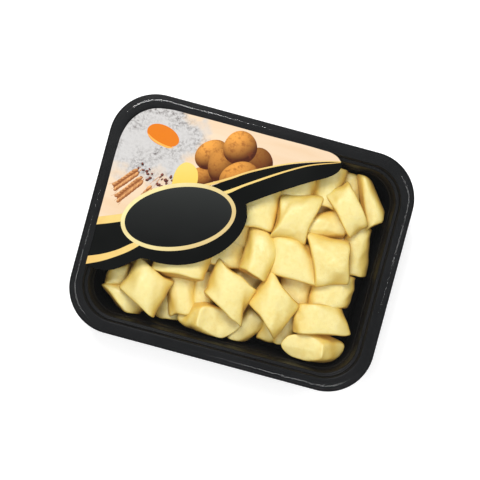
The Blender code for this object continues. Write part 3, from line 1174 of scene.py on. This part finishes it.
potatoes = Ink()
for number, (x, y, half_x, half_y, tilt, dim) in enumerate((
        (-3, 60, 10.5, 9.5, -20, 0.3), (-40, 38, 9, 8, 30, 0.7), (-38, 56, 12.5, 10, 50, 1.0),
        (-29, 50, 9.5, 12.5, 10, 0.68), (-19, 66, 12.5, 12.0, 20, 1.0), (-14, 45, 15, 11, 30, 0.9))):
    add_ball(potatoes, (x, y), (half_x, half_y), tilt, 1 + 0.5 * number, dim, seed=number)
potatoes.make("print_potatoes", ink_finish("potato_ink", linear(70, 28, 12), linear(234, 160, 72), 0.6,
                                           linear(116, 56, 24), scale=300.0))

# %% Yolk and cut half
yolk = Ink()
YOLK = ((-75.2, 60.2), (12.2, 7.4), -12)
yolk.add_round(round_field(*YOLK, reaches=BALL_REACH, wave=0.02, seed=3), 1, 0.1)
gleam_outer = smooth_line([(-86.3, 58.2), (-82, 55.2), (-75, 52.9), (-68.5, 52.4), (-65.5, 53.5)], 40)
gleam_inner = smooth_line([(-86.0, 58.8), (-82, 56.6), (-75, 54.4), (-68.5, 53.7), (-65.5, 53.8)], 40)
yolk.add_band(band(gleam_inner, gleam_outer, rows=3), 2, 1.0)
yolk.make("print_yolk", ink_finish("yolk_ink", linear(214, 110, 14), linear(240, 176, 88), 0.3,
                                   linear(220, 124, 22), scale=90.0))

half_top = smooth_line([
    (-60, 28), (-60, 36), (-58.2, 42), (-54, 45.8), (-49.5, 45.6), (-45, 42.5), (-42.8, 37), (-42.5, 30),
])
half_foot = smooth_line([(-59.8, 24), (-56, 26), (-52, 27.5), (-48, 28.8), (-44, 29.2), (-42.5, 29)])
half = Ink()
half_plan = band(half_top, half_foot, rows=6)
half.add_band(half_plan, 4.2, lit_from(half_plan, (-51, 36), 10, 110))
half.make("print_cut_half", ink_finish("cut_half_ink", linear(227, 195, 84), linear(230, 206, 112), 0.2,
                                       linear(230, 196, 80), scale=120.0))

# %% Wheat and grains
WHEAT = (((-86.5, 30), (-99.5, 15)), ((-82, 25), (-95.5, 7.5)), ((-74, 21), (-80, 8.5)))
GRAIN_HALF = (2.7, 1.2)
AWN_LENGTH = 8.5
AWN_HALF = 0.28
AWN_TAPER = 0.3
AWN_SPREAD = 2.6


def add_ear(ink, top, foot, grains, side):
    """Two rows of lean grains along a stalk, leaning outwards, with a fan of fine awns below."""
    top, foot = np.array(top, dtype=float), np.array(foot, dtype=float)
    bearing = math.degrees(math.atan2(*(top - foot)[::-1]))
    length = np.linalg.norm(top - foot)
    add_ball(ink, (top + foot) / 2, (length * 0.52, side * 1.7), bearing, 1.5, 0.75, seed=grains)
    across = np.array([-(top - foot)[1], (top - foot)[0]]) / np.linalg.norm(top - foot)
    down = (foot - top) / np.linalg.norm(foot - top)
    for number, spread in enumerate(np.linspace(-1, 1, 7)):
        root = foot - down * (6 + 9 * (number % 3)) + across * spread * side
        tip = root + down * AWN_LENGTH + across * spread * AWN_SPREAD
        flank = across * AWN_HALF
        left = np.linspace(root - flank, tip - flank * AWN_TAPER, 6)
        right = np.linspace(root + flank, tip + flank * AWN_TAPER, 6)
        ink.add_band(band(left, right, rows=2), 1, 0.5)
    for number in range(grains):
        for hand in (-1, 1):
            middle = foot + (top - foot) * (number + 0.5 + 0.25 * hand) / grains + across * hand * side
            shade_dim = 0.7 + 0.35 * ((number * 7 + hand) % 5) / 4
            step = 2 + 0.3 * number + 0.15 * (hand > 0)
            add_ball(ink, middle, GRAIN_HALF, bearing - 15 * hand, step, shade_dim, seed=number, wave=0.08)


wheat = Ink()
for number, (top, foot) in enumerate(WHEAT):
    add_ear(wheat, top, foot, (8, 9, 5)[number], (1.5, 1.7, 1.1)[number])
wheat.make("print_wheat", ink_finish("wheat_ink", linear(134, 76, 38), linear(236, 176, 116), 0.4,
                                     linear(150, 88, 50), scale=260.0))

seeds = Ink()
scatter = np.random.default_rng(8)
for number in range(26):
    cluster = ((-84, 33), (-80, 30), (-70, 26), (-64, 29))[number % 4]
    middle = np.array(cluster) + scatter.normal(0, 2.4, 2)
    size = scatter.uniform(0.7, 1.5)
    tilt = scatter.uniform(0, 180)
    add_ball(seeds, middle, (size, size * 0.75), tilt, 2 + 0.1 * number, 0.9, seed=number, wave=0.12)
seeds.make("print_seeds", ink_finish("seed_ink", linear(38, 20, 18), linear(150, 90, 76), 0.5,
                                     linear(70, 36, 30), scale=500.0))
